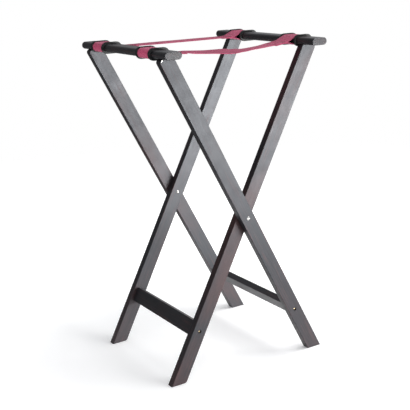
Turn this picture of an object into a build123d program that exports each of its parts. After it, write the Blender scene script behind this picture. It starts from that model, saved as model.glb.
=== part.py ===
from build123d import *
import os
from math import cos, radians, sin, tan

# A folding wooden stand: two leg frames cross and turn on a pivot, and two webbing straps
# between the top rails stop them when they open. Millimetres, +Z up.
# The origin is on the floor, at the middle of the footprint. +X runs across the rails, from the
# outer frame's rail towards the inner frame's rail, and +Y runs along the rails, from near to far.

# Driving sizes of the stand
stand_height = 787.0       # floor to the top of the rails
pivot_height = 380.0
lean_degrees = 27.4        # each leg's angle from upright when the stand is open
frame_width = 364.0        # over the outer faces of the outer legs

# Legs
leg_width = 36.0
leg_thickness = 18.5
leg_ease = 1.2             # rounding of the long edges
shoulder_radius = 7.0      # upper corner that shows outside the rail
heel_radius = 9.0          # inboard corner of the inner frame's feet

# Top rails
rail_overhang = 23.0       # past the outer legs' faces, at each end
rail_width = 42.5
rail_height = 17.3
rail_ease = 1.2
rail_inset = 4.4           # the rail's middle, inboard of the leg's centre line at the joint

# Stretchers
outer_stretcher_width = 30.0
outer_stretcher_thickness = 17.4
inner_stretcher_width = 37.0
inner_stretcher_thickness = 18.5
outer_stretcher_reach = 295.0   # along the leg, from the pivot down
inner_stretcher_reach = 292.0
stretcher_ease = 1.5

# Pivots
rivet_radius = 2.5
rivet_running_gap = 0.05
rivet_head_rim = 2.0       # of the head and the cap, past the shank
rivet_head_height = 2.0
rivet_cap_height = 2.4
rivet_cap_wall = 0.9
cap_end_gap = 0.2
washer_thickness = 0.8
washer_radius = 8.0
washer_end_gap = 0.1
snug = 0.03                # radial gap of a part held fast in its hole

# Stretcher screws
screw_radius = 2.1
screw_head_radius = 3.6
screw_head_height = 2.4
screw_bite = 27.5          # past the leg, into the stretcher
screw_recess_depth = 4.2
screw_recess_gap = 0.5
drive_slot_width = 1.0
drive_slot_length = 4.4
drive_slot_depth = 1.2

# Leg dowels and brads
dowel_radius = 4.0
dowel_in_rail = 10.0
dowel_in_leg = 26.0
dowel_spacing = 15.0
brad_radius = 0.8
brad_head_radius = 1.4
brad_head_height = 0.9
brad_length = 13.0
brad_drop = 3.4            # below the rail's underside
brad_setback = 8.4         # from the leg's outboard edge, along the floor direction
brad_rise = (0.50, 0.30, 0.80)   # inboard, into the leg, and up

# Rubber grips and webbing straps
grip_leg_gap = 0.6         # from the inner legs' inward faces
grip_wall = 1.0
grip_rim_height = 5.0
grip_rim_width = 5.0
grip_gap = 0.05
strap_width = 50.0
strap_thickness = 1.6
strap_gap = 0.05
strap_side_gap = 0.5       # beside the rims
strap_seam_length = 34.0
span_gap = 0.3
near_strap_sag = 13.0
far_strap_sag = 1.0

# Places that follow from the sizes
leg_lean = radians(lean_degrees)
rail_bottom = stand_height - rail_height
rail_middle = stand_height - rail_height / 2
leg_top_x = (rail_bottom - pivot_height) * tan(leg_lean)
rail_x = leg_top_x - rail_inset
leg_half_cut = leg_width / 2 / cos(leg_lean)
outer_leg_out = frame_width / 2
outer_leg_in = outer_leg_out - leg_thickness
inner_leg_out = outer_leg_in - washer_thickness - washer_end_gap
inner_leg_in = inner_leg_out - leg_thickness
rail_length = frame_width + 2 * rail_overhang
rivet_head_radius = rivet_radius + rivet_head_rim
screw_length = leg_thickness + screw_bite
screw_recess_radius = screw_head_radius + screw_recess_gap
grip_length = strap_width + 2 * (strap_side_gap + grip_rim_width)
grip_middle = inner_leg_in - grip_leg_gap - grip_length / 2
NEAR, FAR = -1, 1
OUTER, INNER = 1, -1       # the side of X that a frame's feet stand on


def span_y(side, a, b):
    """The low and high Y of what lies from a to b on the near or far side."""
    return tuple(sorted((side * a, side * b)))


def across(profile, low, high):
    """An outline in X and Z, drawn out along Y from low to high."""
    return extrude(Plane.XZ.offset(-low) * profile, amount=low - high)


def rod(radius, start, end):
    """A round bar between two points."""
    run = Vector(*end) - Vector(*start)
    bar = Cylinder(radius, run.length, align=(Align.CENTER, Align.CENTER, Align.MIN))
    return Plane(origin=start, z_dir=run) * bar


def oval(offset=0.0):
    """A rail's section with full-round sides, grown by an offset."""
    return SlotOverall(rail_width + 2 * offset, rail_height + 2 * offset)


def on_leg(frame, reach):
    """X and Z of the point on a leg's centre line that lies a distance down from the pivot."""
    return frame * reach * sin(leg_lean), pivot_height - reach * cos(leg_lean)


def leg_direction(frame):
    """The unit direction up a leg."""
    return Vector(-frame * sin(leg_lean), 0, cos(leg_lean))


def leg_faces(frame, side):
    """The outward and inward Y of a leg."""
    out, inward = (outer_leg_out, outer_leg_in) if frame == OUTER else (inner_leg_out, inner_leg_in)
    return side * out, side * inward


def stretcher_reach(frame):
    """How far down the legs a frame's stretcher lies."""
    return outer_stretcher_reach if frame == OUTER else inner_stretcher_reach


# Cut tools and the pieces that fill them share these shapes

def dowels(frame, side, gap=0.0):
    """The two dowels that join a leg's top to its rail, one each side of the rail's middle."""
    out, inward = leg_faces(frame, side)
    middle = (out + inward) / 2
    up = leg_direction(frame)
    across_leg = Vector(cos(leg_lean), 0, frame * sin(leg_lean))
    pins = []
    under_rail = frame * rail_inset * cos(leg_lean)
    for place in (under_rail - dowel_spacing / 2, under_rail + dowel_spacing / 2):
        reach = -(rail_bottom - pivot_height) / cos(leg_lean)
        x, z = on_leg(frame, reach)
        # the joint's face is level, so a dowel beside the centre line meets it higher or lower
        slide = frame * place * tan(leg_lean)
        foot = Vector(x, middle, z) + across_leg * place - up * slide
        start = foot - up * (dowel_in_leg + gap)
        end = foot + up * (dowel_in_rail + gap)
        pins.append(rod(dowel_radius + gap, tuple(start), tuple(end)))
    return Compound(children=pins)


def brad(side, gap=0.0):
    """The small nail driven up from an outer leg's face into the rail."""
    x = -OUTER * (leg_top_x + leg_half_cut - brad_setback)
    start = Vector(x, side * outer_leg_out, rail_bottom - brad_drop)
    along = Vector(OUTER * brad_rise[0], -side * brad_rise[1], brad_rise[2]).normalized()
    shank = rod(brad_radius + gap, tuple(start), tuple(start + along * (brad_length + gap)))
    face = side * outer_leg_out
    proud = face + side * brad_head_height / 2
    sunk = face - side * (brad_head_height / 2 + gap)
    head = rod(brad_head_radius + gap, (x, sunk, start.Z), (x, proud, start.Z))
    outside = Box(20, 20, 20, align=(Align.CENTER, Align.MIN if side == FAR else Align.MAX, Align.CENTER))
    return shank - Pos(x, face, start.Z) * outside + head


def screw_place(frame, side):
    """The point on a leg's outward face where a stretcher screw goes in, and its Y direction."""
    x, z = on_leg(frame, stretcher_reach(frame))
    out, _ = leg_faces(frame, side)
    return x, out, z, -side


def screw_shank(frame, side, gap=0.0):
    """A stretcher screw's shank, through the leg and into the stretcher."""
    x, out, z, way = screw_place(frame, side)
    start = out + way * (screw_recess_depth - gap)
    return rod(screw_radius + gap, (x, start, z), (x, out + way * (screw_length + gap), z))


def pivot_shank(side, gap=0.0):
    """A rivet's shank, from under its head to the bottom of its cap's hole."""
    cap_floor = inner_leg_in - cap_end_gap - rivet_cap_height + rivet_cap_wall
    start = (0, side * outer_leg_out, pivot_height)
    end = (0, side * cap_floor, pivot_height)
    return rod(rivet_radius + gap, start, end)


def dome(radius, height):
    """A button head: a spherical cap that stands on the XY plane."""
    ball = (radius**2 + height**2) / (2 * height)
    ring = Cylinder(radius, height, align=(Align.CENTER, Align.CENTER, Align.MIN))
    return ring & Pos(0, 0, height - ball) * Sphere(ball)


# Wooden pieces

def leg(frame, side):
    """A straight leg, cut level at the floor and under its rail."""
    foot_x = frame * pivot_height * tan(leg_lean)
    top_x = -frame * leg_top_x
    foot_inboard = (foot_x - frame * leg_half_cut, 0)
    top_outboard = (top_x - frame * leg_half_cut, rail_bottom)
    corners = [
        foot_inboard,
        (foot_x + frame * leg_half_cut, 0),
        (top_x + frame * leg_half_cut, rail_bottom),
        top_outboard,
    ]
    outline = make_face(Polyline(*corners, close=True))
    outline = fillet(outline.vertices().sort_by_distance((*top_outboard, 0))[0], shoulder_radius)
    if frame == INNER:
        outline = fillet(outline.vertices().sort_by_distance((*foot_inboard, 0))[0], heel_radius)
    out, inward = leg_faces(frame, side)
    low, high = sorted((out, inward))
    body = across(outline, low, high)
    rims = body.edges().filter_by_position(Axis.Y, low - snug, low + snug)
    rims += body.edges().filter_by_position(Axis.Y, high - snug, high + snug)
    body = fillet(rims, leg_ease)
    x, out, z, way = screw_place(frame, side)
    body -= rod(screw_recess_radius, (x, out - way, z), (x, out + way * screw_recess_depth, z))
    body -= screw_shank(frame, side, snug)
    body -= pivot_shank(side, snug if frame == OUTER else rivet_running_gap)
    body -= dowels(frame, side, snug)
    if frame == OUTER:
        body -= brad(side, snug)
    return body


def top_rail(frame):
    """The oval bar that the legs carry."""
    bar = across(oval(), -rail_length / 2, rail_length / 2)
    ends = bar.edges().filter_by_position(Axis.Y, -rail_length / 2 - snug, -rail_length / 2 + snug)
    ends += bar.edges().filter_by_position(Axis.Y, rail_length / 2 - snug, rail_length / 2 + snug)
    bar = Pos(-frame * rail_x, 0, rail_middle) * fillet(ends, rail_ease)
    for side in (NEAR, FAR):
        bar -= dowels(frame, side, snug)
        if frame == OUTER:
            bar -= brad(side, snug)
    return bar


def stretcher(frame):
    """The flat bar between a frame's legs, with its wide face in the frame's plane."""
    wide = outer_stretcher_width if frame == OUTER else inner_stretcher_width
    thick = outer_stretcher_thickness if frame == OUTER else inner_stretcher_thickness
    half = outer_leg_in if frame == OUTER else inner_leg_in
    x, z = on_leg(frame, stretcher_reach(frame))
    bar = across(Rectangle(thick, wide), -half, half)
    bar = fillet(bar.edges().filter_by(Axis.Y), stretcher_ease)
    bar = Pos(x, 0, z) * Rot(0, -frame * lean_degrees, 0) * bar
    for side in (NEAR, FAR):
        bar -= screw_shank(frame, side, snug)
    return bar


# Metal pieces

def screw(frame, side):
    """A pan-head wood screw with a cross recess, sunk below the leg's face."""
    x, out, z, way = screw_place(frame, side)
    tip = screw_radius * 2.5
    start = out + way * screw_recess_depth
    shank_end = out + way * (screw_length - tip)
    body = rod(screw_radius, (x, start, z), (x, shank_end, z))
    point = Cone(screw_radius, 0.2, tip, align=(Align.CENTER, Align.CENTER, Align.MIN))
    body += Plane(origin=(x, shank_end, z), z_dir=(0, way, 0)) * point
    head = dome(screw_head_radius, screw_head_height)
    for turn in (0, 90):
        slot = Box(drive_slot_width, drive_slot_length, 2 * drive_slot_depth)
        head -= Pos(0, 0, screw_head_height) * Rot(0, 0, turn) * slot
    return body + Plane(origin=(x, start, z), z_dir=(0, -way, 0)) * head


def pivot_rivet(side):
    """The rivet that the legs turn on: a button head outside and a plain shank."""
    head = dome(rivet_head_radius, rivet_head_height)
    placed = Plane(origin=(0, side * outer_leg_out, pivot_height), z_dir=(0, side, 0)) * head
    return pivot_shank(side) + placed


def pivot_cap(side):
    """The button cap on the rivet's inner end."""
    seat = side * (inner_leg_in - cap_end_gap)
    cap = dome(rivet_head_radius, rivet_cap_height)
    cap = Plane(origin=(0, seat, pivot_height), z_dir=(0, -side, 0)) * cap
    return cap - pivot_shank(side, snug)


def pivot_washer(side):
    """The thin washer between the crossing legs."""
    low, high = span_y(side, outer_leg_in - washer_thickness, outer_leg_in)
    ring = Circle(washer_radius) - Circle(rivet_radius + snug)
    return Pos(0, 0, pivot_height) * across(ring, low, high)


# Rubber and webbing

def grip_faces(side):
    """The low and high Y of a grip."""
    return side * grip_middle - grip_length / 2, side * grip_middle + grip_length / 2


def grip(frame, side):
    """The rubber sleeve on a rail: a thin wall with a raised rim at each end."""
    low, high = grip_faces(side)
    wall = across(oval(grip_gap + grip_wall), low, high)
    wall += across(oval(grip_rim_height), low, low + grip_rim_width)
    wall += across(oval(grip_rim_height), high - grip_rim_width, high)
    wall -= across(oval(grip_gap), low, high)
    return Pos(-frame * rail_x, 0, rail_middle) * wall


def strap_faces(side):
    """The low and high Y of a strap."""
    return side * grip_middle - strap_width / 2, side * grip_middle + strap_width / 2


def strap_loop(frame, side):
    """The turn of webbing round a rail, in the groove of its rubber grip."""
    seat = grip_gap + grip_wall + strap_gap
    band = oval(seat + strap_thickness) - oval(seat)
    return Pos(-frame * rail_x, 0, rail_middle) * across(band, *strap_faces(side))


def strap_span(side):
    """The webbing between the rails, with the doubled seam at each end."""
    sag = near_strap_sag if side == NEAR else far_strap_sag
    half = strap_thickness / 2
    ends = [(-rail_x, rail_middle), (rail_x, rail_middle)]

    def line(lift):
        left, right = ((x, z + lift) for x, z in ends)
        return ThreePointArc(left, (0, rail_middle - sag + lift), right)

    def ribbon(low, high):
        top, bottom = line(high), line(low)
        return make_face([top, bottom, Line(top @ 0, bottom @ 0), Line(top @ 1, bottom @ 1)])

    low, high = strap_faces(side)
    seat = grip_gap + grip_wall + strap_gap + strap_thickness + span_gap
    body = across(ribbon(-half, half), low, high)
    seam_reach = rail_width / 2 + seat + strap_seam_length
    doubled = across(ribbon(-strap_thickness, strap_thickness), low, high)
    for end in (-rail_x, rail_x):
        zone = Pos(end, 0, rail_middle) * Box(2 * seam_reach, rail_length, 4 * rail_height)
        body += doubled & zone
    for end in (-rail_x, rail_x):
        body -= Pos(end, 0, rail_middle) * across(oval(seat), low - 1, high + 1)
        beyond = Box(rail_width, rail_length, 4 * rail_height)
        body -= Pos(end + (rail_width / 2 if end > 0 else -rail_width / 2), 0, rail_middle) * beyond
    return body


def build():
    """Every piece of the stand, by name."""
    nodes = {}
    sides = {"near": NEAR, "far": FAR}
    for frame_name, frame in {"outer": OUTER, "inner": INNER}.items():
        nodes[f"{frame_name}_top_rail"] = top_rail(frame)
        nodes[f"{frame_name}_stretcher"] = stretcher(frame)
        for side_name, side in sides.items():
            nodes[f"{frame_name}_leg_{side_name}"] = leg(frame, side)
            nodes[f"{frame_name}_screw_{side_name}"] = screw(frame, side)
            nodes[f"{frame_name}_dowels_{side_name}"] = dowels(frame, side)
            nodes[f"{frame_name}_grip_{side_name}"] = grip(frame, side)
            nodes[f"{frame_name}_strap_loop_{side_name}"] = strap_loop(frame, side)
    for side_name, side in sides.items():
        nodes[f"rail_brad_{side_name}"] = brad(side)
        nodes[f"pivot_rivet_{side_name}"] = pivot_rivet(side)
        nodes[f"pivot_cap_{side_name}"] = pivot_cap(side)
        nodes[f"pivot_washer_{side_name}"] = pivot_washer(side)
        nodes[f"strap_span_{side_name}"] = strap_span(side)
    return nodes


os.makedirs("parts", exist_ok=True)
for name, shape in build().items():
    export_step(shape, f"parts/{name}.step")
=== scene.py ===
"""Looks of a tall folding tray stand: stained wood, rubber grips, webbing straps and bright hardware."""

import logging
import math
from dataclasses import dataclass
from enum import Enum
from typing import NamedTuple

import bpy
from mathutils import Matrix, Vector


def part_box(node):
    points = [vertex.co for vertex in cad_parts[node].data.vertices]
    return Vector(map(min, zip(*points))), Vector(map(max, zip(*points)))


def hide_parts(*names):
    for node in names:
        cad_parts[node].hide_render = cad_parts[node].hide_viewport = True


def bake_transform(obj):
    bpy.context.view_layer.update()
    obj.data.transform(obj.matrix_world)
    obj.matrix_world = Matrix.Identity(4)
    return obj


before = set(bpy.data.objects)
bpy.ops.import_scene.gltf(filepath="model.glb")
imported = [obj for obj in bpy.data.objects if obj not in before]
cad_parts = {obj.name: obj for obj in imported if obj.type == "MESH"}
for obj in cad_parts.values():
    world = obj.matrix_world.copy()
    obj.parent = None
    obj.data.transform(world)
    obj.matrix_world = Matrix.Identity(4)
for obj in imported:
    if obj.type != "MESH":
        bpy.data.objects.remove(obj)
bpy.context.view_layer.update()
LOG = logging.getLogger("tray_stand")
MM = 0.001
Socket = bpy.types.NodeSocket
Point = tuple[float, float]


class Frame(Enum):
    """The two crossing leg frames, with the body that each one is."""

    OUTER = "outer"
    INNER = "inner"

    @property
    def body(self) -> str:
        """The body that carries this frame's pieces."""
        return f"{self.value}_frame"

    @property
    def feet(self) -> int:
        """The side of X that the frame's feet stand on."""
        return 1 if self is Frame.OUTER else -1


class Side(Enum):
    """The two ends of the stand along its rails."""

    NEAR = "near"
    FAR = "far"


# How red each leg's stain wears through, and each leg's painted sheen, higher on the far legs to look more
# lit.
LEG_STAIN_AND_SHEEN: dict[tuple[Frame, Side], tuple[float, float]] = {
    (Frame.OUTER, Side.NEAR): (0.20, 0.43),
    (Frame.OUTER, Side.FAR): (0.80, 0.64),
    (Frame.INNER, Side.NEAR): (0.85, 0.43),
    (Frame.INNER, Side.FAR): (0.35, 0.64),
}


class Plating(Enum):
    """How a metal piece is finished."""

    BRIGHT_STEEL = "bright_steel"
    YELLOW_ZINC = "yellow_zinc"


class Shade:
    """One material's node tree, with short calls for the nodes that the finishes use."""

    # The places of a colour mix's two colours and of its result.
    FIRST, SECOND, MIXED = 6, 7, 2

    def __init__(self, name: str) -> None:
        """Starts an empty material with a principled shader.

        Args:
            name: The material's name.
        """
        self.material = bpy.data.materials.new(name)
        self.material.use_nodes = True
        self.tree = self.material.node_tree
        self.tree.nodes.clear()
        self.surface = self.tree.nodes.new("ShaderNodeBsdfPrincipled")
        output = self.tree.nodes.new("ShaderNodeOutputMaterial")
        self.tree.links.new(self.surface.outputs["BSDF"], output.inputs["Surface"])

    def set(self, **values: float | tuple) -> None:
        """Sets constant values on the shader's own sockets.

        Args:
            values: Socket names with underscores for spaces, and their values.
        """
        for name, value in values.items():
            self.surface.inputs[name.replace("_", " ")].default_value = value

    def link(self, source: Socket, target: str) -> None:
        """Feeds a socket into one of the shader's inputs."""
        self.tree.links.new(source, self.surface.inputs[target])

    def node(self, kind: str, **settings: object) -> bpy.types.Node:
        """Adds a node and sets its properties.

        Args:
            kind: The node's type after "ShaderNode".
            settings: Properties of the node.

        Returns:
            The new node.
        """
        made = self.tree.nodes.new("ShaderNode" + kind)
        for name, value in settings.items():
            setattr(made, name, value)
        return made

    def feed(self, node: bpy.types.Node, place: int | str, value: object) -> None:
        """Links a socket into a node's input, or sets the input to a plain value.

        Args:
            node: The node.
            place: The input's name or number.
            value: The socket or the plain value.
        """
        if isinstance(value, Socket):
            self.tree.links.new(value, node.inputs[place])
        else:
            node.inputs[place].default_value = value

    def math(self, operation: str, a: object, b: object = 0.0, c: object = 0.0) -> Socket:
        """A math node.

        Args:
            operation: The node's operation.
            a: First value or socket.
            b: Second value or socket.
            c: Third value or socket.

        Returns:
            The result's socket.
        """
        made = self.node("Math", operation=operation)
        for place, value in enumerate((a, b, c)):
            self.feed(made, place, value)
        return made.outputs[0]

    def coordinates(self, turn: float = 0.0, scale: tuple = (1, 1, 1), spread: float = 0.0) -> Socket:
        """Object coordinates, turned about Y and scaled, and moved apart for each object.

        Args:
            turn: Turn about Y, in radians.
            scale: Scale along each axis after the turn.
            spread: How far objects lie apart in the pattern, in metres.

        Returns:
            The vector's socket.
        """
        source = self.node("TexCoord").outputs["Object"]
        if spread:
            chance = self.node("ObjectInfo").outputs["Random"]
            shift = self.node("VectorMath", operation="SCALE")
            shift.inputs[0].default_value = (spread, spread * 0.7, spread * 1.3)
            self.feed(shift, "Scale", chance)
            moved = self.node("VectorMath", operation="ADD")
            self.feed(moved, 0, source)
            self.feed(moved, 1, shift.outputs[0])
            source = moved.outputs[0]
        turned = self.node("Mapping")
        turned.inputs["Rotation"].default_value = (0, turn, 0)
        self.feed(turned, "Vector", source)
        scaled = self.node("Mapping")
        scaled.inputs["Scale"].default_value = scale
        self.feed(scaled, "Vector", turned.outputs[0])
        return scaled.outputs[0]

    def noise(self, vector: Socket, scale: float, detail: float = 3.0, roughness: float = 0.55) -> Socket:
        """A noise texture's value.

        Args:
            vector: The coordinates.
            scale: How fine the noise is.
            detail: How many finer layers it has.
            roughness: How strong the finer layers are.

        Returns:
            The value's socket.
        """
        made = self.node("TexNoise")
        self.feed(made, "Vector", vector)
        for place, value in (("Scale", scale), ("Detail", detail), ("Roughness", roughness)):
            made.inputs[place].default_value = value
        return made.outputs[0]

    def ramp(self, value: Socket, *stops: tuple[float, tuple]) -> Socket:
        """A colour ramp.

        Args:
            value: The ramp's factor.
            stops: Position and colour of each stop, in order.

        Returns:
            The colour's socket.
        """
        made = self.node("ValToRGB")
        elements = made.color_ramp.elements
        while len(elements) < len(stops):
            elements.new(0.5)
        for element, (place, colour) in zip(elements, stops):
            element.position = place
            element.color = (*colour, 1)
        self.feed(made, 0, value)
        return made.outputs[0]

    def mix(self, factor: object, a: object, b: object, blend: str = "MIX") -> Socket:
        """A mix of two colours.

        Args:
            factor: The second colour's share, as a value or a socket.
            a: The first colour, or its socket.
            b: The second colour, or its socket.
            blend: How the second is laid over the first.

        Returns:
            The colour's socket.
        """
        made = self.node("Mix", data_type="RGBA", blend_type=blend)
        self.feed(made, 0, factor)
        for place, value in ((self.FIRST, a), (self.SECOND, b)):
            self.feed(made, place, (*value, 1) if isinstance(value, tuple) else value)
        return made.outputs[self.MIXED]

    def span(self, value: Socket, low: float, high: float) -> Socket:
        """A value from 0 to 1 carried to the range from low to high."""
        return self.math("MULTIPLY_ADD", value, high - low, low)

    def ease(self, value: Socket, places: Point, values: Point) -> Socket:
        """A value that eases from one to another between two places.

        Args:
            value: Where on the way it is.
            places: Where the change starts and ends.
            values: The value before the change and after it.

        Returns:
            The eased value's socket.
        """
        made = self.node("MapRange", interpolation_type="SMOOTHSTEP")
        for name, setting in zip(("From Min", "From Max", "To Min", "To Max"), (*places, *values)):
            made.inputs[name].default_value = setting
        self.feed(made, 0, value)
        return made.outputs[0]

    def bump(self, height: Socket, strength: float, distance: float) -> None:
        """Adds a bump from a height, on top of any bump that is there.

        Args:
            height: The height's socket.
            strength: The bump's strength.
            distance: How far the height reaches, in metres.
        """
        made = self.node("Bump")
        made.inputs["Strength"].default_value = strength
        made.inputs["Distance"].default_value = distance
        self.feed(made, "Height", height)
        earlier = self.surface.inputs["Normal"].links
        if earlier:
            self.feed(made, "Normal", earlier[0].from_socket)
        self.link(made.outputs[0], "Normal")


@dataclass(frozen=True)
class StainedWood:
    """Dark stain under a satin lacquer, with the grain along the piece.

    along_grain squeezes the pattern along the grain, thin_stain darkens the worn patches, and
    end_grain is the roughness that a rail's ends have over the rest.
    """

    name: str
    turn: float
    along_rail: bool
    dark: tuple = (0.0045, 0.0043, 0.0055)
    middle: tuple = (0.013, 0.0115, 0.0145)
    warm: tuple = (0.080, 0.029, 0.026)
    warmth: float = 0.25
    sheen: float = 0.46
    along_grain: float = 0.035
    thin_stain: float = 0.62
    end_grain: float = 0.30

    def make(self) -> bpy.types.Material:
        """Builds the wood: streaks, pores, warm patches where the stain is thin, and a satin top.

        Returns:
            The material.
        """
        shade = Shade(self.name)
        stretch = (1.0, self.along_grain, 1.0) if self.along_rail else (1.0, 1.0, self.along_grain)
        grain = shade.coordinates(self.turn, stretch, spread=0.9)
        streaks = shade.noise(grain, scale=260.0, detail=5.0, roughness=0.62)
        pores = shade.noise(grain, scale=1500.0, detail=2.0, roughness=0.5)
        plain = shade.coordinates(self.turn, (1, 1, 1), spread=1.7)
        worn_spots = shade.coordinates(self.turn, (2.2, 2.2, 1), spread=1.7)
        patches = shade.noise(worn_spots, scale=4.2, detail=3.0, roughness=0.55)
        stain = shade.ramp(streaks, (0.28, self.dark), (0.55, self.middle), (0.8, self.warm))
        thin = shade.ramp(patches, (0.47, (0, 0, 0)), (0.68, (1, 1, 1)))
        amount = shade.math("MULTIPLY", thin, self.warmth)
        colour = shade.mix(amount, stain, tuple(self.thin_stain * part for part in self.warm))
        holes = shade.ramp(pores, (0.30, (0.35, 0.35, 0.35)), (0.46, (1, 1, 1)))
        shade.link(shade.mix(1.0, colour, holes, "MULTIPLY"), "Base Color")
        cloud = shade.noise(plain, scale=34.0, detail=3.0, roughness=0.6)
        smooth = shade.span(streaks, low=0.28, high=0.50)
        worn = shade.math("ADD", shade.span(cloud, low=0.0, high=0.16), smooth)
        coat, coat_roughness = (0.4, 0.22) if self.along_rail else (0.08, 0.32)
        # The cool blue tint on the reflections is painted light, standing in for cool light on the wood.
        shade.set(Specular_IOR_Level=self.sheen, Specular_Tint=(0.90, 0.94, 1.0, 1))
        if self.along_rail:
            facing = shade.node("SeparateXYZ")
            shade.feed(facing, 0, shade.node("NewGeometry").outputs["Normal"])
            is_end = shade.math("GREATER_THAN", shade.math("ABSOLUTE", facing.outputs["Y"]), 0.9)
            worn = shade.math("MULTIPLY_ADD", is_end, self.end_grain, worn)
        shade.link(worn, "Roughness")
        shade.set(Coat_Weight=coat, Coat_Roughness=coat_roughness, Coat_IOR=1.45)
        shade.bump(streaks, strength=0.22, distance=0.0005)
        shade.bump(pores, strength=0.25, distance=0.00025)
        return shade.material


@dataclass(frozen=True)
class RawWood:
    """Plain beech, as on a dowel."""

    name: str = "raw_beech"

    def make(self) -> bpy.types.Material:
        """Builds pale wood with fine flecks.

        Returns:
            The material.
        """
        shade = Shade(self.name)
        grain = shade.coordinates(0.0, (1, 1, 0.08), spread=0.5)
        flecks = shade.noise(grain, scale=900.0, detail=3.0)
        wood = shade.ramp(flecks, (0.3, (0.36, 0.23, 0.12)), (0.7, (0.62, 0.45, 0.28)))
        shade.link(wood, "Base Color")
        shade.link(shade.span(flecks, low=0.55, high=0.8), "Roughness")
        shade.bump(flecks, strength=0.3, distance=0.0002)
        return shade.material


@dataclass(frozen=True)
class GripRubber:
    """Matt black rubber with a fine moulded skin."""

    name: str = "grip_rubber"

    def make(self) -> bpy.types.Material:
        """Builds rubber that is dusted lighter in places.

        Returns:
            The material.
        """
        shade = Shade(self.name)
        where = shade.coordinates(spread=0.6)
        dust = shade.noise(where, scale=55.0, detail=4.0, roughness=0.6)
        skin = shade.noise(where, scale=2600.0, detail=2.0)
        black = shade.ramp(dust, (0.35, (0.0075, 0.0085, 0.0085)), (0.75, (0.02, 0.021, 0.021)))
        shade.link(black, "Base Color")
        shade.link(shade.span(dust, low=0.48, high=0.72), "Roughness")
        shade.set(Specular_IOR_Level=0.4)
        shade.bump(skin, strength=0.35, distance=0.00012)
        return shade.material


@dataclass(frozen=True)
class Metal:
    """A small metal piece: polished steel or zinc-plated steel."""

    name: str
    plating: Plating

    def make(self) -> bpy.types.Material:
        """Builds metal with fine scratches and slight tarnish.

        Returns:
            The material.
        """
        shade = Shade(self.name)
        where = shade.coordinates(spread=0.3)
        marks = shade.noise(where, scale=700.0, detail=4.0, roughness=0.65)
        haze = shade.noise(where, scale=160.0, detail=2.0)
        pale, dull = ((0.74, 0.73, 0.71), (0.5, 0.49, 0.47))
        if self.plating is Plating.YELLOW_ZINC:
            pale, dull = ((0.74, 0.64, 0.47), (0.5, 0.38, 0.23))
        shade.link(shade.ramp(haze, (0.35, dull), (0.65, pale)), "Base Color")
        shade.link(shade.span(marks, low=0.16, high=0.42), "Roughness")
        shade.set(Metallic=1.0)
        shade.bump(marks, strength=0.12, distance=0.0001)
        return shade.material


@dataclass(frozen=True)
class Webbing:
    """Burgundy webbing, woven in narrow columns of cross ribs."""

    name: str = "burgundy_webbing"
    rib: float = 1.7 * MM
    column: float = 2.6 * MM
    # The weave's colours: painted shade in its valleys, the yarn's own face, and a painted highlight on
    # the rib crests.
    valley_shade: tuple = (0.13, 0.010, 0.034)
    face: tuple = (0.315, 0.032, 0.084)
    pale: tuple = (0.41, 0.062, 0.132)
    lanes_aside: float = 64.0
    slant: float = 0.7

    def make(self) -> bpy.types.Material:
        """Builds the weave from the strap's own length and width, which its map holds in metres.

        The columns are counted from a place outside the strap, so that no number is below zero.

        Returns:
            The material.
        """
        shade = Shade(self.name)
        parts = shade.node("SeparateXYZ")
        shade.feed(parts, 0, shade.node("UVMap", uv_map="weave").outputs[0])
        along, across = parts.outputs[0], parts.outputs[1]
        lane = shade.math("DIVIDE", across, self.column)
        odd = shade.math("MODULO", shade.math("FLOOR", shade.math("ADD", lane, self.lanes_aside)), 2.0)
        inward = shade.math("PINGPONG", lane, 0.5)
        step = shade.math("MULTIPLY_ADD", odd, 0.5, shade.math("DIVIDE", along, self.rib))
        phase = shade.math("MULTIPLY_ADD", inward, self.slant, step)
        rib = shade.math("ABSOLUTE", shade.math("SINE", shade.math("MULTIPLY", phase, math.pi)))
        edge = shade.math("ABSOLUTE", shade.math("SINE", shade.math("MULTIPLY", lane, math.pi)))
        height = shade.math("MULTIPLY", rib, shade.math("MULTIPLY_ADD", edge, 0.55, 0.45))
        where = shade.coordinates(spread=0.4)
        fuzz = shade.noise(where, scale=1900.0, detail=3.0, roughness=0.7)
        fade = shade.noise(where, scale=26.0, detail=3.0, roughness=0.5)
        # The yarn is painted darker where the weave dips and paler on the crests, as painted shade and
        # highlight.
        yarn = shade.ramp(height, (0.0, self.valley_shade), (0.55, self.face), (1.0, self.pale))
        tint = shade.ramp(fade, (0.3, (0.80, 0.78, 0.80)), (0.7, (1.0, 1.0, 1.0)))
        shade.link(shade.mix(1.0, yarn, tint, "MULTIPLY"), "Base Color")
        shade.link(shade.span(fuzz, low=0.62, high=0.9), "Roughness")
        shade.set(Specular_IOR_Level=0.3, Sheen_Weight=0.25, Sheen_Roughness=0.4)
        shade.set(Sheen_Tint=(0.9, 0.5, 0.62, 1))
        shade.bump(height, strength=0.55, distance=0.0004)
        shade.bump(fuzz, strength=0.25, distance=0.00015)
        return shade.material


@dataclass(frozen=True)
class Thread:
    """Twisted sewing thread."""

    name: str = "sewing_thread"

    def make(self) -> bpy.types.Material:
        """Builds thread with the turns of its twist.

        Returns:
            The material.
        """
        shade = Shade(self.name)
        turns = shade.noise(shade.coordinates(0.6, (1, 1, 0.4)), scale=3200.0, detail=2.0)
        yarn = shade.ramp(turns, (0.35, (0.10, 0.008, 0.026)), (0.7, (0.30, 0.035, 0.085)))
        shade.link(yarn, "Base Color")
        shade.link(shade.span(turns, low=0.4, high=0.65), "Roughness")
        shade.bump(turns, strength=0.4, distance=0.0001)
        return shade.material


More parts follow.
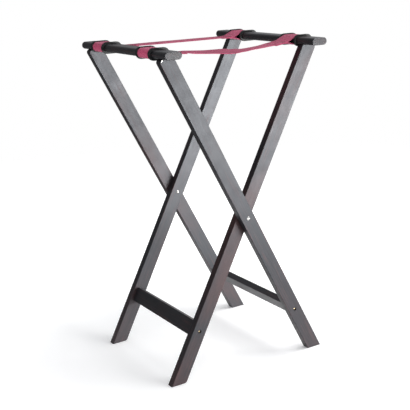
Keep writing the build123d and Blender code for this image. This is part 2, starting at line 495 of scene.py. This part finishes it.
@dataclass(frozen=True)
class StudioFloor:
    """A pale floor that glows more toward its rim and fades out there."""

    name: str = "studio_floor"
    fade: Point = (1.3, 2.7)
    glow: Point = (0.30, 0.80)
    glow_strength: Point = (0.20, 0.6)

    def make(self) -> bpy.types.Material:
        """Builds matt white with a faint mottle, clear at the rim.

        Returns:
            The material.
        """
        shade = Shade(self.name)
        where = shade.node("TexCoord").outputs["Object"]
        mottle = shade.noise(where, scale=9.0, detail=3.0)
        white = shade.ramp(mottle, (0.3, (0.90, 0.90, 0.90)), (0.7, (0.93, 0.93, 0.93)))
        shade.link(white, "Base Color")
        shade.set(Roughness=0.85, Specular_IOR_Level=0.1, Emission_Color=(1, 1, 1, 1))
        reach = shade.node("VectorMath", operation="LENGTH")
        shade.feed(reach, 0, where)
        away = reach.outputs["Value"]
        shade.link(shade.ease(away, self.fade, (1.0, 0.0)), "Alpha")
        shade.link(shade.ease(away, self.glow, self.glow_strength), "Emission Strength")
        return shade.material


def finish_node(node: str, material: bpy.types.Material) -> None:
    """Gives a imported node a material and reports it.

    Args:
        node: The node's name.
        material: Its new material.
    """
    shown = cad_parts[node]
    shown.data.materials.clear()
    shown.data.materials.append(material)
    LOG.info("%s: %s", node, material.name)


def mesh_object(name: str, points: list, faces: list, material: bpy.types.Material) -> bpy.types.Object:
    """Makes a smooth mesh object in the scene.

    Args:
        name: The object's name.
        points: Its corners, in metres.
        faces: Its faces, as lists of corner numbers.
        material: Its material.

    Returns:
        The new object.
    """
    mesh = bpy.data.meshes.new(name)
    mesh.from_pydata([tuple(point) for point in points], [], faces)
    mesh.polygons.foreach_set("use_smooth", [True] * len(mesh.polygons))
    mesh.materials.append(material)
    made = bpy.data.objects.new(name, mesh)
    bpy.context.scene.collection.objects.link(made)
    return made


@dataclass
class LegFrame:
    """One leg frame: two legs, a rail, a stretcher, and what fastens them."""

    which: Frame
    leg_width: float = 36 * MM

    def lean(self) -> float:
        """The legs' angle from upright, from the leg's own box.

        A leaning leg's box is wider than its lean alone makes it, by the leg's own width, so the
        angle is found in rounds, each nearer than the last.

        Returns:
            The angle, in radians.
        """
        low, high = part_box(f"{self.which.value}_leg_near")
        rise = high[2] - low[2]
        width = high[0] - low[0]
        angle, rounds = math.radians(25), 20
        for _ in range(rounds):
            angle = math.atan((width - self.leg_width / math.cos(angle)) / rise)
        return angle

    def dress(self, hardware: "Hardware") -> None:
        """Gives every piece of the frame its finish.

        Args:
            hardware: The finishes that both frames share.
        """
        turn = self.which.feet * self.lean()
        name = self.which.value
        bars = StainedWood(f"{name}_bar_wood", turn=0.0, along_rail=True).make()
        for side in Side:
            # The sheen differs from leg to leg as painted light, not as a difference in the lacquer.
            warmth, sheen = LEG_STAIN_AND_SHEEN[self.which, side]
            stain = StainedWood(f"{name}_{side.value}_leg_wood", turn, False, warmth=warmth, sheen=sheen)
            finish_node(f"{name}_leg_{side.value}", stain.make())
            finish_node(f"{name}_dowels_{side.value}", hardware.dowel)
            finish_node(f"{name}_screw_{side.value}", hardware.screw)
            finish_node(f"{name}_grip_{side.value}", hardware.rubber)
        finish_node(f"{name}_top_rail", bars)
        finish_node(f"{name}_stretcher", bars)


@dataclass
class Hardware:
    """The small pieces' finishes, and the pieces at the pivots."""

    dowel: bpy.types.Material
    screw: bpy.types.Material
    steel: bpy.types.Material
    rubber: bpy.types.Material

    @classmethod
    def stocked(cls) -> "Hardware":
        """Makes the finishes once.

        Returns:
            The hardware.
        """
        return cls(
            dowel=RawWood().make(),
            screw=Metal("yellow_zinc_screw", Plating.YELLOW_ZINC).make(),
            steel=Metal("bright_steel", Plating.BRIGHT_STEEL).make(),
            rubber=GripRubber().make(),
        )

    def dress(self) -> None:
        """Gives the pivots and the brads their finish."""
        for side in Side:
            for piece in ("pivot_rivet", "pivot_cap", "pivot_washer", "rail_brad"):
                finish_node(f"{piece}_{side.value}", self.steel)


def arc(centre: float, radius: float, first: float, sweep: float, steps: int) -> list[Point]:
    """Points along an arc round a place on the first axis.

    Args:
        centre: The place.
        radius: The arc's radius.
        first: The angle where it starts, in radians.
        sweep: How far it turns, in radians.
        steps: How many steps it has.

    Returns:
        The points, one more than the steps.
    """
    angles = [first + sweep * k / steps for k in range(steps + 1)]
    return [(centre + radius * math.cos(angle), radius * math.sin(angle)) for angle in angles]


def touching(away: float, height: float, radius: float, way: int) -> float:
    """The angle where a line from a point touches a circle.

    Args:
        away: How far the point is from the circle's middle, along the first axis.
        height: How high it is over the middle.
        radius: The circle's radius.
        way: 1 for the upper of the two lines and -1 for the lower.

    Returns:
        The angle round the circle, in radians.
    """
    return math.atan2(height, away) + way * math.acos(radius / math.hypot(away, height))


class Place(NamedTuple):
    """A place along a strap: its point, its lift and width directions, and the length up to it."""

    point: Vector
    lift: Vector
    wide: Vector
    along: float


class Tubes:
    """Short tubes with drawn-in ends, gathered for one mesh."""

    SIDES = 6
    END_SIZE = 0.45

    def __init__(self) -> None:
        """Starts with no tubes."""
        self.points: list[Vector] = []
        self.faces: list[list[int]] = []

    def add(self, path: list[Vector], radius: float) -> None:
        """Adds a tube.

        Args:
            path: The points of its middle line.
            radius: Its radius, in metres.
        """
        base, last = len(self.points), len(path) - 1
        for k, point in enumerate(path):
            ahead = (path[min(k + 1, last)] - path[max(k - 1, 0)]).normalized()
            side = ahead.orthogonal().normalized()
            other = ahead.cross(side)
            size = radius * (self.END_SIZE if k in (0, last) else 1.0)
            for j in range(self.SIDES):
                turn = math.tau * j / self.SIDES
                self.points.append(point + (side * math.cos(turn) + other * math.sin(turn)) * size)
        for k in range(last):
            here, there = base + self.SIDES * k, base + self.SIDES * (k + 1)
            for j in range(self.SIDES):
                i = (j + 1) % self.SIDES
                self.faces.append([here + j, here + i, there + i, there + j])
        self.faces.append([base + j for j in reversed(range(self.SIDES))])
        self.faces.append([base + self.SIDES * last + j for j in range(self.SIDES)])


@dataclass
class Strap:
    """A webbing strap that is sewn in a loop round each rail.

    Lengths are in metres. The twists are pairs of a place between the rails, in millimetres, and
    the webbing's turn there, in degrees.
    """

    side: Side
    sag: float
    lowest: float
    twists: tuple[Point, ...]
    ripple: float
    thickness: float = 1.6 * MM
    lead: float = 17.0 * MM
    seam: float = 34.0 * MM
    left_bend: float = 1.45
    right_bend: float = 2.1
    run_drop: float = 1.3 * MM
    step: float = 2.0 * MM

    # How far the webbing stands off the rail.
    STAND_OFF = 0.1 * MM
    # How far the ripple spreads along the run, and its turns in radians per metre.
    RIPPLE_REACH = 75 * MM
    RIPPLE_RATE = 95.0
    # A tail's depth under the run, in thicknesses of the webbing.
    TAIL_DEPTH = 1.02
    # The steps of the run, of each tail, and of the loop's short and long arcs.
    RUN_STEPS, TAIL_STEPS, SHORT_STEPS, LONG_STEPS = 90, 12, 6, 18
    SMOOTHINGS = 3
    # The cross-section: shares of the half width, fullness from the edge inward and in the
    # middle, and the angles of the rounded edge.
    COLUMNS = (0.93, 0.8, 0.4)
    SELVEDGE = {0: 1.0, 1: 1.06, 2: 0.94}
    FULLNESS = 0.93
    ROUNDING = (0.9, 0.0, -0.9)
    # The stitches: each one's length, the thread's radius, where the thread sits, as a share of
    # half the webbing's thickness, and the places along a stitch with the thread's rise over
    # that, in millimetres.
    STITCH = 3.6 * MM
    THREAD = 0.27 * MM
    THREAD_SEAT = 0.9
    STITCH_LINE = ((0.06, -0.15), (0.2, 0.28), (0.5, 0.28), (0.8, 0.28), (0.94, -0.15))
    # How far a seam keeps from the webbing's edges, from the tail's end and from the loop.
    EDGE_MARGIN, TAIL_MARGIN, LOOP_MARGIN = 5 * MM, 3.5 * MM, 3 * MM
    # The steps from a tail round the rail before the run can come back over it, and how far over
    # the tail the run then is, in thicknesses of the webbing.
    ROUND_LOOP = 60
    RUN_RISE = 0.3

    def loop_box(self, which: Frame) -> tuple[Vector, Vector]:
        """The corners of the strap's turn round a rail."""
        low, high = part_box(f"{which.value}_strap_loop_{self.side.value}")
        return Vector(low), Vector(high)

    def run_height(self, x: float, left: float, right: float, level: float) -> float:
        """The strap's height between the loops, which hangs a little and lowest off the middle.

        Args:
            x: The place between the rails.
            left: Where the run starts.
            right: Where it ends.
            level: Its height at both ends.

        Returns:
            The height.
        """
        if x < self.lowest:
            share, bend = (x - left) / (self.lowest - left), self.left_bend
        else:
            share, bend = (right - x) / (right - self.lowest), self.right_bend
        share = min(1.0, max(0.0, share))
        return level - self.sag * (1 - (1 - share) ** bend)

    def twist(self, x: float) -> float:
        """The webbing's turn about its own length, eased from one given place to the next.

        Args:
            x: The place between the rails.

        Returns:
            The turn, in radians.
        """
        if not self.twists[0][0] < x / MM < self.twists[-1][0]:
            return 0.0
        for (a, first), (b, second) in zip(self.twists, self.twists[1:]):
            if x / MM <= b:
                share = (x / MM - a) / (b - a)
                share = share * share * (3 - 2 * share)
                return math.radians(first + (second - first) * share)
        return 0.0

    def loop_line(self, which: Frame) -> tuple[list[Point], Point]:
        """The middle line of one loop, from the end of the sewn tail to where the run begins.

        Args:
            which: The frame whose rail the loop goes round.

        Returns:
            The points in X and Z, and the run's first point.
        """
        low, high = self.loop_box(which)
        middle = (low + high) / 2
        radius = (high.z - low.z) / 2 - self.thickness / 2 + self.STAND_OFF
        flat = ((high.x - low.x) - (high.z - low.z)) / 2
        meet = (high.x - low.x) / 2 + self.lead
        drop = -self.run_drop
        under = touching(meet - flat, drop - self.thickness, radius, -1)
        over = touching(meet - flat, drop, radius, 1)
        points = arc(flat, radius, under, -math.pi / 2 - under, self.SHORT_STEPS)
        points += arc(-flat, radius, -math.pi / 2, -math.pi, self.LONG_STEPS)
        points += arc(flat, radius, math.pi / 2, over - math.pi / 2, self.SHORT_STEPS)
        placed = [(middle.x + which.feet * u, middle.z + v) for u, v in points]
        return placed, (middle.x + which.feet * meet, middle.z + drop)

    def centre_line(self) -> list[Point]:
        """The whole strap's middle line, from one sewn tail to the other.

        Returns:
            The points in X and Z.
        """
        left, (first, level) = self.loop_line(Frame.OUTER)
        right, (last, _) = self.loop_line(Frame.INNER)
        run: list[Point] = []
        for k in range(self.RUN_STEPS + 1):
            x = first + (last - first) * k / self.RUN_STEPS
            run.append((x, self.run_height(x, first, last, level)))
        tails: list[list[Point]] = []
        for start, way in ((first, 1), (last, -1)):
            tail = []
            for k in reversed(range(self.TAIL_STEPS + 1)):
                x = start + way * self.seam * k / self.TAIL_STEPS
                tail.append((x, self.run_height(x, first, last, level) - self.thickness * self.TAIL_DEPTH))
            tails.append(tail)
        return tails[0] + left + run + right[::-1] + tails[1][::-1]

    def even_points(self) -> tuple[list[Vector], float]:
        """The middle line in even steps, smoothed.

        Returns:
            The points, and the line's length.
        """
        line = [Vector((x, 0, z)) for x, z in self.centre_line()]
        lengths = [0.0]
        for a, b in zip(line, line[1:]):
            lengths.append(lengths[-1] + (b - a).length)
        count = round(lengths[-1] / self.step)
        points, at = [], 0
        for k in range(count + 1):
            want = lengths[-1] * k / count
            while at < len(line) - 2 and lengths[at + 1] < want:
                at += 1
            share = (want - lengths[at]) / max(1e-9, lengths[at + 1] - lengths[at])
            points.append(line[at].lerp(line[at + 1], share))
        for _ in range(self.SMOOTHINGS):
            inner = [a * 0.25 + b * 0.5 + c * 0.25 for a, b, c in zip(points, points[1:], points[2:])]
            points = [points[0], *inner, points[-1]]
        return points, lengths[-1]

    def places(self) -> list[Place]:
        """Evenly spaced places along the strap, turned and rippled as it hangs.

        Returns:
            The places.
        """
        points, length = self.even_points()
        low, high = self.loop_box(Frame.OUTER)
        middle, across = (low.y + high.y) / 2, Vector((0, 1, 0))
        count = len(points) - 1
        places = []
        for k, point in enumerate(points):
            ahead = points[min(k + 1, count)] - points[max(k - 1, 0)]
            ahead.normalize()
            lift = Vector((-ahead.z, 0, ahead.x))
            slack = math.exp(-(((point.x - self.lowest) / self.RIPPLE_REACH) ** 2))
            way = 1 if ahead.x > 0.5 else -1 if ahead.x < -0.5 else 0
            angle = self.twist(point.x) * way
            wide = across * math.cos(angle) + lift * math.sin(angle)
            lift = lift * math.cos(angle) - across * math.sin(angle)
            wave = self.ripple * slack * math.sin(point.x * self.RIPPLE_RATE)
            shift = Vector((0, middle + wave, 0))
            places.append(Place(point + shift, lift, wide, length * k / count))
        return places

    def section(self) -> list[Point]:
        """The webbing's cross-section, with full selvedges.

        Returns:
            The points, as across and lift.
        """
        low, high = self.loop_box(Frame.OUTER)
        half, thick = (high.y - low.y) / 2, self.thickness / 2
        flat = [half - thick, *(half * share for share in self.COLUMNS), 0.0]
        flat += [-u for u in flat[-2::-1]]
        top = []
        for k, u in enumerate(flat):
            fullness = self.SELVEDGE.get(min(k, len(flat) - 1 - k), self.FULLNESS)
            top.append((u, thick * fullness))
        outer = [(half - thick + thick * math.cos(a), thick * math.sin(a)) for a in self.ROUNDING]
        bottom = [(u, -v) for u, v in reversed(top)]
        inner = [(-u, -v) for u, v in outer]
        return top[::-1] + outer + bottom[::-1] + inner

    def weave(self) -> bpy.types.Object:
        """Builds the webbing as one closed ribbon with its weave map.

        Returns:
            The webbing.
        """
        places, section = self.places(), self.section()
        size = len(section)
        points, faces, maps = [], [], []
        for place in places:
            points += [place.point + place.wide * u + place.lift * v for u, v in section]
        for k in range(len(places) - 1):
            here, there = k * size, (k + 1) * size
            start, end = places[k].along, places[k + 1].along
            for j in range(size):
                i = (j + 1) % size
                faces.append([here + j, there + j, there + i, here + i])
                near, far = section[j][0], section[i][0]
                maps += [(start, near), (end, near), (end, far), (start, far)]
        last = (len(places) - 1) * size
        faces.append(list(range(size)))
        maps += [(0.0, u) for u, _ in section]
        faces.append([last + j for j in reversed(range(size))])
        maps += [(places[-1].along, u) for u, _ in reversed(section)]
        made = mesh_object(f"strap_{self.side.value}", points, faces, Webbing().make())
        layer = made.data.uv_layers.new(name="weave")
        layer.data.foreach_set("uv", [value for pair in maps for value in pair])
        return made

    def seam_rows(self) -> list[tuple[Point, Point]]:
        """The rows of a boxed cross stitch.

        Returns:
            Each row's start and end, as along the strap from the tail and across.
        """
        low, high = self.loop_box(Frame.OUTER)
        side = (high.y - low.y) / 2 - self.EDGE_MARGIN
        first, last = self.TAIL_MARGIN, self.seam - self.LOOP_MARGIN
        return [
            ((first, -side), (first, side)), ((last, -side), (last, side)),
            ((first, -side), (last, -side)), ((first, side), (last, side)),
            ((first, -side), (last, side)), ((first, side), (last, -side)),
        ]

    def spot(self, places: list[Place], along: float, across: float, lift: float) -> Vector:
        """A point on or over the strap.

        Args:
            places: The strap's places.
            along: The length along the strap.
            across: How far it is from the middle, to the side.
            lift: How far it is from the middle, through the webbing.

        Returns:
            The point.
        """
        at = min(max(along / (places[-1].along / (len(places) - 1)), 0.0), len(places) - 1.001)
        here, there = places[int(at)], places[int(at) + 1]
        return here.point.lerp(there.point, at - int(at)) + here.wide * across + here.lift * lift

    def stitch(self) -> bpy.types.Object:
        """Builds the thread of both seams, on the run's face and under the tails.

        Returns:
            The thread.
        """
        places, thread = self.places(), Tubes()
        for end, tail, way in ((0, 0.0, 1), (-1, places[-1].along, -1)):
            run = self.run_over(places, end)
            for (u, v), (far_u, far_v) in self.seam_rows():
                row = Vector((far_u - u, far_v - v))
                count = max(1, round(row.length / self.STITCH))
                for k in range(count):
                    for origin, ahead in ((tail, way), (run, -way)):
                        path = []
                        for share, height in self.STITCH_LINE:
                            along = origin + ahead * (u + row.x * (k + share) / count)
                            across = v + row.y * (k + share) / count
                            lift = self.thickness / 2 * self.THREAD_SEAT + height * MM
                            path.append(self.spot(places, along, across, lift))
                        thread.add(path, self.THREAD)
        return mesh_object(f"stitching_{self.side.value}", thread.points, thread.faces, Thread().make())

    def run_over(self, places: list[Place], end: int) -> float:
        """The length along the strap where the run lies over a tail's end.

        Args:
            places: The strap's places.
            end: The tail's place, 0 or -1.

        Returns:
            The length.
        """
        tail, last = places[end].point, len(places) - 1
        half = len(places) // 2
        own, span = (0, range(0, half)) if end == 0 else (last, range(half, len(places)))
        over = [
            k for k in span
            if places[k].point.z > tail.z + self.thickness * self.RUN_RISE
            and abs(k - own) > self.ROUND_LOOP
        ]
        return places[min(over, key=lambda k: abs(places[k].point.x - tail.x))].along

    def build(self) -> list[bpy.types.Object]:
        """Builds the strap and its thread, and hangs both between the frames.

        Returns:
            The strap and its thread.
        """
        webbing, thread = self.weave(), self.stitch()
        for piece in (webbing, thread):
            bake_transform(piece)
        side = self.side.value
        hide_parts(f"outer_strap_loop_{side}", f"inner_strap_loop_{side}", f"strap_span_{side}")
        length = self.places()[-1].along
        LOG.info("%s: %.0f mm of webbing", webbing.name, length / MM)
        for piece in (webbing, thread):
            LOG.info("%s: %d faces", piece.name, len(piece.data.polygons))
        return [webbing, thread]


@dataclass(frozen=True)
class Softbox:
    """A soft rectangular light, in metres and watts."""

    name: str
    place: tuple[float, float, float]
    aim: tuple[float, float, float]
    size: Point
    power: float

    def hang(self) -> bpy.types.Object:
        """Hangs the light, out of the camera's sight.

        Returns:
            The light.
        """
        data = bpy.data.lights.new(self.name, "AREA")
        data.shape = "RECTANGLE"
        data.size, data.size_y = self.size
        data.energy = self.power
        lamp = bpy.data.objects.new(self.name, data)
        lamp.location = self.place
        way = Vector(self.aim) - Vector(self.place)
        lamp.rotation_euler = way.to_track_quat("-Z", "Y").to_euler()
        lamp.visible_camera = False
        bpy.context.scene.collection.objects.link(lamp)
        LOG.info("%s: %.0f W", self.name, self.power)
        return lamp


FRONT = Softbox("front_softbox", place=(1.40, -2.1, 0.24), aim=(0, 0, 0.40), size=(1.7, 0.42), power=85.0)
TOP = Softbox("top_softbox", place=(1.3, -0.5, 2.3), aim=(0, 0, 0), size=(1.7, 1.7), power=50.0)
STRAP_FILL = Softbox("strap_fill", place=(-2.1, -0.5, 0.9), aim=(0, 0, 0.7), size=(0.7, 0.7), power=34.0)


@dataclass(frozen=True)
class Surround:
    """A white backdrop, whose light is weaker from the back left."""

    tint: tuple = (0.95, 0.97, 1.0, 1)
    dim_side: tuple = (-0.55, 0.80, -0.20)
    turning: Point = (-0.1, 0.75)
    strength: Point = (0.58, 0.17)

    def make(self) -> bpy.types.World:
        """Builds the world: plain white to the camera, and the soft light to all else.

        Returns:
            The world.
        """
        world = bpy.data.worlds.new("white_studio")
        world.use_nodes = True
        nodes, links = world.node_tree.nodes, world.node_tree.links
        seen, soft = nodes["Background"], nodes.new("ShaderNodeBackground")
        seen.inputs[0].default_value = (1, 1, 1, 1)
        soft.inputs[0].default_value = self.tint
        facing, dim = nodes.new("ShaderNodeVectorMath"), nodes.new("ShaderNodeMapRange")
        facing.operation = "DOT_PRODUCT"
        facing.inputs[1].default_value = Vector(self.dim_side).normalized()
        dim.interpolation_type = "SMOOTHSTEP"
        settings = (*self.turning, *self.strength)
        for name, value in zip(("From Min", "From Max", "To Min", "To Max"), settings):
            dim.inputs[name].default_value = value
        links.new(nodes.new("ShaderNodeTexCoord").outputs["Generated"], facing.inputs[0])
        links.new(facing.outputs["Value"], dim.inputs[0])
        links.new(dim.outputs[0], soft.inputs[1])
        path, mix = nodes.new("ShaderNodeLightPath"), nodes.new("ShaderNodeMixShader")
        links.new(path.outputs["Is Camera Ray"], mix.inputs[0])
        links.new(soft.outputs[0], mix.inputs[1])
        links.new(seen.outputs[0], mix.inputs[2])
        links.new(mix.outputs[0], nodes["World Output"].inputs["Surface"])
        return world


@dataclass(frozen=True)
class Viewpoint:
    """The camera's place in metres, its turns in radians, and its lens in millimetres."""

    place: tuple[float, float, float] = (-1.1466, -1.83373, 0.96835)
    yaw: float = 0.556545
    pitch: float = 0.267924
    roll: float = -0.036549
    lens: float = 78.0
    sensor: float = 36.0
    clip_end: float = 100.0

    def turn(self) -> Matrix:
        """The camera's turn, with its up and right tilted by the roll.

        Returns:
            The turn, as a matrix.
        """
        level = math.cos(self.pitch)
        ahead = Vector((math.sin(self.yaw) * level, math.cos(self.yaw) * level, -math.sin(self.pitch)))
        right = Vector((math.cos(self.yaw), -math.sin(self.yaw), 0))
        up = right.cross(ahead)
        across = right * math.cos(self.roll) + up * math.sin(self.roll)
        upright = up * math.cos(self.roll) - right * math.sin(self.roll)
        return Matrix((across, upright, -ahead)).transposed().to_4x4()

    def set_camera(self) -> None:
        """Stands the camera at the near left, a little above the rails."""
        data = bpy.data.cameras.new("camera")
        data.lens = self.lens
        data.sensor_width = self.sensor
        data.clip_end = self.clip_end
        camera = bpy.data.objects.new("camera", data)
        camera.matrix_world = Matrix.Translation(self.place) @ self.turn()
        bpy.context.scene.collection.objects.link(camera)
        bpy.context.scene.camera = camera
        LOG.info("camera: %.0f mm lens", self.lens)


@dataclass(frozen=True)
class Studio:
    """The round floor and the lights."""

    middle: float = 0.55
    reach: float = 2.8
    sides: int = 96
    height: float = -0.0004

    def lay_floor(self) -> None:
        """Lays a round pale floor, whose middle alone shows in the wood's gloss."""
        count = self.sides
        circle = [math.tau * k / count for k in range(count)]
        inner, outer = (
            [(reach * math.cos(turn), reach * math.sin(turn), self.height) for turn in circle]
            for reach in (self.middle, self.reach)
        )
        border = []
        for k in range(count):
            following = (k + 1) % count
            border.append([count + k, count + following, following, k])
        finish = StudioFloor().make()
        middle = mesh_object("studio_floor_middle", inner, [list(range(count))], finish)
        ring = mesh_object("studio_floor", inner + outer, border, finish)
        ring.visible_glossy = False
        for part in (middle, ring):
            LOG.info("%s: laid", part.name)

    def light(self) -> None:
        """Sets the white surround and the soft lights."""
        scene = bpy.context.scene
        scene.world = Surround().make()
        for softbox in (FRONT, TOP):
            softbox.hang()
        scene.view_settings.view_transform = "Standard"
        scene.view_settings.look = "None"

    def fill_straps(self, webbing: list[bpy.types.Object]) -> None:
        """Lights the webbing alone from the left, so the wood's left edges stay dark.

        Args:
            webbing: The straps and their thread.
        """
        lit = bpy.data.collections.new("lit_webbing")
        for piece in webbing:
            lit.objects.link(piece)
        STRAP_FILL.hang().light_linking.receiver_collection = lit


@dataclass
class TrayStand:
    """The whole stand."""

    frames: tuple[LegFrame, LegFrame]
    straps: tuple[Strap, Strap]

    def build(self) -> list[bpy.types.Object]:
        """Dresses both frames and hangs the straps.

        Returns:
            The straps and their thread.
        """
        hardware = Hardware.stocked()
        hardware.dress()
        for leg_frame in self.frames:
            leg_frame.dress(hardware)
        return [piece for strap in self.straps for piece in strap.build()]


def main() -> None:
    """Builds the stand and its studio, in order."""
    logging.basicConfig(level=logging.INFO, format="%(name)s %(message)s")
    studio = Studio()
    Viewpoint().set_camera()
    studio.lay_floor()
    studio.light()
    stand = TrayStand(
        frames=(LegFrame(Frame.OUTER), LegFrame(Frame.INNER)),
        straps=(
            Strap(
                Side.NEAR, sag=11.6 * MM, lowest=18 * MM, ripple=0.5 * MM,
                twists=(
                    (-125, 0), (-100, 3.5), (-60, 4), (2, 8.5),
                    (32, 2.5), (58, -2.2), (100, -2.2), (125, 0),
                ),
            ),
            Strap(
                Side.FAR, sag=0.2 * MM, lowest=10 * MM, ripple=0.0,
                twists=((-125, 0), (-60, 0.6), (60, 0.6), (125, 0)),
            ),
        ),
    )
    studio.fill_straps(stand.build())


if __name__ == "__main__":
    main()
